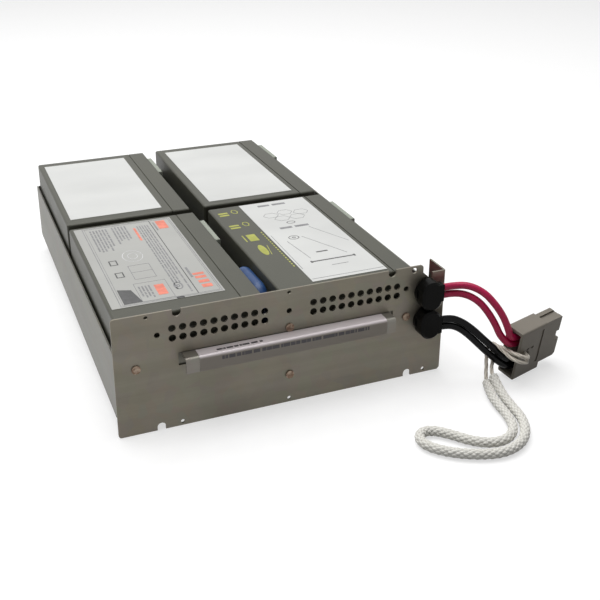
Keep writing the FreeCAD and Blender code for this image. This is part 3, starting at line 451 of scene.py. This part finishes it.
silver.shape([(8.2, 3.6), (20.0, 3.6), (16.5, 22.0), (8.2, 25.0)], "black")
silver.rows(21.0, 29.5, 5.0, 25.0, 4, "grey", draw)
# A small black bar on the label's front edge, drawn as a dark mark whose cause is not known.
silver.bar(40.5, 0.1, 45.5, 2.4, "black")
silver.frame(19.6, 3.4, 40.5, 30.0, 0.35, "grey")
silver.bar(31.5, 9.0, 37.6, 24.0, "red")
silver.oval(46.0, 17.5, 3.0, 5.4, 1.1, "grey")
silver.oval(46.0, 17.5, 1.2, 2.2, 0.8, "grey")
silver.frame(12.0, 42.0, 17.6, 50.0, 0.9, "black")
silver.frame(12.0, 62.0, 17.6, 70.0, 0.9, "black")
silver.frame(22.5, 36.0, 37.0, 58.0, 0.4, "grey")
silver.line(22.5, 47.0, 37.0, 47.0, 0.35, "grey")
silver.oval(29.5, 73.0, 7.0, 9.5, 0.4, "pale")
silver.oval(29.5, 73.0, 3.4, 5.0, 0.4, "pale")
silver.done("front_left_print")

white = Print("front_right_label", inks)
for y in (137.0, 90.0):
    white.bar(13.0, y - 1.6, 22.4, y + 1.6, "grey")
    white.bar(24.6, y - 1.6, 35.4, y + 1.6, "grey")
for x, y in ((16.0, 116.0), (28.0, 119.0), (40.0, 116.0), (22.0, 108.0), (34.0, 108.0)):
    white.oval(x, y, 6.2, 5.2, 0.4, "grey", 6)
white.oval(25.0, 98.5, 3.4, 2.4, 0.6, "black")
white.oval(16.0, 71.0, 4.0, 3.4, 0.6, "black")
white.oval(16.0, 71.0, 1.4, 1.2, 0.6, "black")
white.line(9.0, 66.0, 13.0, 34.0, 0.45, "grey")
white.line(22.0, 71.0, 40.0, 34.0, 0.45, "grey")
white.line(2.0, 80.0, 1.4, 20.0, 0.4, "grey")
white.line(34.0, 86.0, 50.0, 52.0, 0.4, "grey")
white.bar(20.5, 41.0, 29.0, 42.6, "black")
white.bar(12.0, 27.4, 42.0, 28.8, "black")
white.bar(10.6, 26.6, 12.0, 29.6, "black")
white.bar(42.0, 26.6, 43.4, 29.6, "black")
white.line(22.0, 19.0, 34.0, 19.0, 0.7, "grey")
white.line(1.0, 3.6, 52.0, 3.6, 0.5, "grey")
white.done("front_right_print")

# The same case carries lime marks beside that label, printed straight on the plastic, which lies a
# label's thickness lower.
lime = Print("front_right_label", inks, depth=0.2)
for y in (128.0, 102.0):
    lime.bar(-20.0, y, -12.6, y + 2.6, "lime")
    lime.bar(-20.0, y + 4.2, -12.6, y + 6.8, "lime")
    lime.oval(-7.0, y + 6.0, 2.8, 4.4, 0.8, "lime", 6)
lime.bar(-17.5, 76.0, -16.6, 88.0, "lime")
lime.bar(-14.4, 76.0, -7.8, 88.0, "lime")
lime.shape(ring_points(-11.5, 59.0, 2.7, 9.0, 28), "lime")
lime.line(-8.6, 50.0, -6.4, 66.0, 0.5, "lime")
for k in range(18):
    lime.bar(-2.4, 26.0 + 3.6 * k, -1.5, 28.2 + 3.6 * k, "lime")
lime.done("case_print")


# ---------------------------------------------------------------------------------------------------
# Spacer pads, terminals and boots: foam pads stuck on the lids hold the rows apart. Tinned brass
# spade terminals carry the black nylon boots of the inner leads.
def pad_foam():
    made, tree, surface = shader("spacer_foam")
    cells = noise(tree, 700.0, 3.0)
    vary(tree, surface, "Base Color", cells, (0.3, (0.24, 0.26, 0.22)), (0.7, (0.33, 0.35, 0.30)))
    finish_surface(surface, Roughness=0.8)
    bump(tree, surface, cells, 0.5, 0.4 * MM)
    return made


foam = pad_foam()
brass = plated("tinned_brass", (0.50, 0.46, 0.36), (0.66, 0.63, 0.56), 300.0, 1.0, 0.3)
for battery in BATTERIES:
    dress(foam, battery + "_spacer_pad")
    dress(brass, battery + "_terminals")
dress(moulded("boot_nylon", (0.020, 0.020, 0.022), (0.034, 0.034, 0.036), 0.4), "terminal_boots")


# ---------------------------------------------------------------------------------------------------
# Strain reliefs: black nylon bushings, each snapped into the panel and the tray's front wall. Their
# oval heads are satin, with a bevelled rim.
relief_nylon = moulded("relief_nylon", (0.003, 0.003, 0.003), (0.006, 0.006, 0.005), 0.32, 500.0, 0.06)
dress(relief_nylon, "upper_strain_relief", "lower_strain_relief")


# ---------------------------------------------------------------------------------------------------
# Leads: stranded copper in soft PVC, with a satin skin that shows faint unevenness from the extruder.
# Two red and two black leads, of radius LEAD mm, cross from the strain reliefs to the connector, and
# the leads and blue links inside the tray join the batteries.
def insulation(name, dark, light, roughness, shine=0.3):
    made, tree, surface = shader(name)
    skin = noise(tree, 160.0, 3.0, (1.0, 1.0, 1.0), 0.6)
    vary(tree, surface, "Base Color", skin, (0.3, dark), (0.7, light))
    finish_surface(surface, Roughness=roughness, Specular_IOR_Level=shine)
    bump(tree, surface, skin, 0.08, 0.3 * MM)
    return made


red_pvc = insulation("red_pvc", (0.36, 0.003, 0.050), (0.45, 0.005, 0.070), 0.34)
black_pvc = insulation("black_pvc", (0.004, 0.004, 0.004), (0.007, 0.007, 0.008), 0.20, 0.12)
blue_pvc = insulation("blue_pvc", (0.012, 0.04, 0.13), (0.025, 0.07, 0.19), 0.35)
# Painted shade: the blue links get a darker navy copy of the blue PVC, standing for the shadow that the
# front right battery casts into the gap.
blue_pvc_painted_shade = insulation("blue_pvc_painted_shade", (0.010, 0.014, 0.035), (0.016, 0.022, 0.05), 0.35)
dress(red_pvc, "red_lead_left", "red_lead_right")
dress(black_pvc, "black_lead_left", "black_lead_right")
dress(blue_pvc_painted_shade, "blue_link_left", "blue_link_right")
dress(blue_pvc, "blue_sleeve")
LEAD = 2.4
OUTER_LEADS = {
    "red_lead_upper": [
        (8.5, -8.0, 66.9), (16.4, -8.0, 66.9), (25.4, -12.6, 67.4), (33.0, -19.0, 63.8),
        (38.0, -24.5, 57.4), (42.2, -28.9, 49.8), (45.0, -31.7, 41.6), (47.43, -32.93, 32.82),
        (55.62, -30.88, 33.24),
    ],
    "red_lead_lower": [
        (8.5, -8.0, 61.5), (16.8, -8.0, 61.5), (24.6, -12.8, 60.8), (30.8, -18.5, 56.8),
        (35.2, -23.2, 50.0), (39.0, -26.6, 42.2), (41.9, -28.5, 34.4), (48.33, -31.68, 27.26),
        (55.65, -29.85, 27.63),
    ],
    "black_lead_upper": [
        (8.5, -8.0, 43.1), (15.4, -8.0, 43.1), (22.0, -11.8, 41.0), (28.2, -16.4, 36.2),
        (34.2, -20.8, 29.8), (40.4, -24.6, 23.4), (49.38, -28.97, 13.84), (55.72, -27.38, 14.16),
    ],
    "black_lead_lower": [
        (8.5, -8.0, 37.9), (14.2, -8.0, 37.9), (20.3, -11.0, 36.4), (25.9, -15.0, 31.9),
        (31.6, -19.4, 25.7), (37.6, -23.2, 19.2), (49.41, -27.99, 8.52), (55.75, -26.4, 8.85),
    ],
}


def smooth_curve(name, points):
    """A NURBS curve through the route, which is its control points."""
    made = bpy.data.curves.new(name, "CURVE")
    made.dimensions = "3D"
    made.resolution_u = 16
    spline = made.splines.new("NURBS")
    spline.points.add(len(points) - 1)
    for control, point in zip(spline.points, points):
        control.co = (*outside(*point), 1.0)
    spline.order_u = 3
    spline.use_endpoint_u = True
    piece = bpy.data.objects.new(name, made)
    bpy.context.scene.collection.objects.link(piece)
    return piece


def centre_line(name, points):
    """The line that the curve follows, as points in metres."""
    piece = smooth_curve(name + "_line", points)
    bpy.context.view_layer.update()
    drawn = bpy.data.meshes.new_from_object(piece)
    line = [vertex.co.copy() for vertex in drawn.vertices]
    bpy.data.objects.remove(piece)
    return line


def length_of(line):
    return sum((b - a).length for a, b in zip(line, line[1:]))


for name, points in OUTER_LEADS.items():
    pvc, slot = (red_pvc, "lead_red") if name.startswith("red") else (black_pvc, "lead_black")
    lead = smooth_curve(name + "_pvc", points)
    lead.data.bevel_depth = LEAD * MM
    lead.data.bevel_resolution = 6
    lead.data.use_fill_caps = True
    lead.data.materials.append(pvc)
    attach(lead, "root")
    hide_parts(name)
    length_of(centre_line(name, points))


# ---------------------------------------------------------------------------------------------------
# Connector: a two-pole housing moulded in grey polycarbonate, satin and finely grained. Its contacts
# are silver-plated copper, held inside it at the leads' ends.
connector_grey = moulded("connector_grey", (0.175, 0.158, 0.132), (0.228, 0.207, 0.176), 0.5, 700.0, 0.15)
silver_plate = plated("silver_plate", (0.60, 0.58, 0.52), (0.8, 0.79, 0.76), 260.0, 1.0, 0.25)
dress(connector_grey, "connector_housing")
dress(silver_plate, "connector_contacts")


# ---------------------------------------------------------------------------------------------------
# Pull rope: a braided off-white cord of radius ROPE mm, doubled on the table in front of the connector.
# Each end closes on a thin twisted cord of radius STRAND mm, which runs up behind the black leads and
# into the connector's eye.
ROPE = 3.2
STRAND = 1.3
YARNS = 7
BRAID_PITCH = 4.4
BRAID_DEPTH = 0.62
TWIST_PITCH = 2.2
TWIST_DEPTH = 0.28
PULL_ROPE = [
    (35.0, -34.6, 8.6), (32.6, -46.6, 4.6), (31.0, -61.0, 3.3), (29.2, -76.4, 3.3), (22.3, -90.0, 3.3),
    (11.6, -98.9, 3.3), (-2.1, -102.0, 3.3), (-16.0, -98.6, 3.3), (-29.2, -91.6, 3.3), (-39.6, -82.0, 3.3),
    (-42.2, -73.0, 3.3), (-37.8, -66.2, 3.3), (-30.0, -66.4, 3.3), (-21.6, -74.2, 3.3), (-13.4, -85.0, 3.3),
    (-2.8, -91.7, 3.3), (9.1, -91.2, 3.3), (18.4, -83.2, 3.3), (22.6, -69.8, 3.3), (23.9, -54.8, 3.3),
    (27.4, -42.6, 3.3), (31.8, -32.6, 3.3),
]
PULL_STRANDS = {
    "pull_strand_upper": [
        (35.0, -34.6, 8.6), (35.93, -29.94, 10.15), (43.0, -21.6, 11.2), (45.0, -16.8, 16.6),
        (45.9, -20.5, 22.5), (46.9, -30.0, 23.6), (47.0, -37.2, 24.8), (49.4, -41.8, 24.8),
        (54.8, -43.0, 22.6), (58.0, -39.2, 21.2), (58.1, -30.06, 22.22),
    ],
    "pull_strand_lower": [
        (31.8, -32.6, 3.3), (33.81, -28.02, 3.3), (39.0, -20.2, 9.4), (41.4, -15.0, 17.6),
        (42.9, -18.4, 25.0), (43.6, -31.0, 24.2), (44.9, -37.8, 22.0), (48.2, -41.9, 20.6),
        (54.0, -43.2, 19.2), (58.0, -38.7, 18.2), (58.11, -29.56, 19.47),
    ],
}


def even(line, step):
    """The line's points again, a step apart."""
    total = length_of(line)
    count = round(total / step)
    made, k, passed = [line[0]], 0, 0.0
    for n in range(1, count):
        goal = total * n / count
        while passed + (line[k + 1] - line[k]).length < goal:
            passed += (line[k + 1] - line[k]).length
            k += 1
        along = (goal - passed) / (line[k + 1] - line[k]).length
        made.append(line[k].lerp(line[k + 1], along))
    return made + [line[-1]]


def yarn_tube(name, line, height, around, material):
    """A round cord whose surface height(turn, along) gives its radius, with the height as a colour that
    paints shade into the grooves.
    """
    mesh = bmesh.new()
    shade = mesh.loops.layers.float_color.new("yarn")
    rings, levels, passed = [], {}, 0.0
    side = Vector((1.0, 0.0, 0.0))
    for k, here in enumerate(line):
        ahead = line[min(k + 1, len(line) - 1)] - line[max(k - 1, 0)]
        nearly_upright = abs(ahead.normalized().z) >= 0.95
        if not nearly_upright:
            side = ahead.cross(Vector((0.0, 0.0, 1.0))).normalized()
        over = side.cross(ahead).normalized()
        passed += (here - line[k - 1]).length if k else 0.0
        ring = []
        for n in range(around):
            turn = 2 * math.pi * n / around
            radius, level = height(turn, passed / MM)
            vertex = mesh.verts.new(here + (side * math.cos(turn) + over * math.sin(turn)) * radius * MM)
            levels[vertex] = level
            ring.append(vertex)
        rings.append(ring)
    for low, high in zip(rings, rings[1:]):
        for n in range(around):
            mesh.faces.new((low[n], low[(n + 1) % around], high[(n + 1) % around], high[n]))
    mesh.faces.new(rings[0][::-1])
    mesh.faces.new(rings[-1])
    for face in mesh.faces:
        face.smooth = len(face.verts) == 4
        for loop in face.loops:
            level = levels[loop.vert]
            loop[shade] = (level, level, level, 1.0)
    bmesh.ops.recalc_face_normals(mesh, faces=mesh.faces)
    made = bpy.data.meshes.new(name)
    mesh.to_mesh(made)
    mesh.free()
    made.materials.append(material)
    piece = bpy.data.objects.new(name, made)
    bpy.context.scene.collection.objects.link(piece)
    return piece


def braid(turn, along):
    """Yarns laid both ways round the rope, over and under one another."""
    first = YARNS * turn / (2 * math.pi) + along / BRAID_PITCH
    second = YARNS * turn / (2 * math.pi) - along / BRAID_PITCH
    on_top = (math.floor(first) + math.floor(second)) % 2
    across, length = (first % 1, second % 1) if on_top else (second % 1, first % 1)
    level = math.sin(math.pi * across) ** 0.6 * (0.45 + 0.55 * math.sin(math.pi * length))
    return ROPE - BRAID_DEPTH * (1 - level), level


def twist(turn, along):
    """Three plies laid up together."""
    level = abs(math.cos(1.5 * turn + along / TWIST_PITCH))
    return STRAND - TWIST_DEPTH * (1 - level), level


def yarn(name, groove_painted_shade, crown, roughness):
    made, tree, surface = shader(name)
    level = node(tree, "Attribute", attribute_name="yarn").outputs["Fac"]
    hairs = noise(tree, 1400.0, 3.0)
    groove_shade_and_fuzz = joined(tree, "ADD", level, joined(tree, "MULTIPLY", hairs, 0.3))
    # Painted shade: the grooves between yarns and plies are coloured darker than their crowns, with fine
    # hairs over both.
    vary(tree, surface, "Base Color", groove_shade_and_fuzz, (0.15, groove_painted_shade), (0.75, crown))
    finish_surface(surface, Roughness=roughness, Sheen_Weight=0.25)
    bump(tree, surface, hairs, 0.35, 0.3 * MM)
    return made


rope_yarn = yarn("rope_yarn", (0.41, 0.39, 0.35), (0.76, 0.75, 0.70), 0.8)
strand_yarn = yarn("strand_yarn", (0.32, 0.28, 0.23), (0.68, 0.63, 0.55), 0.75)
rope_line = centre_line("pull_rope", PULL_ROPE)
rope = yarn_tube("braided_rope", even(rope_line, 0.42 * MM), braid, 64, rope_yarn)
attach(rope, "root")
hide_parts("pull_rope")
for name, points in PULL_STRANDS.items():
    line = centre_line(name, points)
    strand = yarn_tube(name + "_yarn", even(line, 0.35 * MM), twist, 24, strand_yarn)
    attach(strand, "root")
    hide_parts(name)
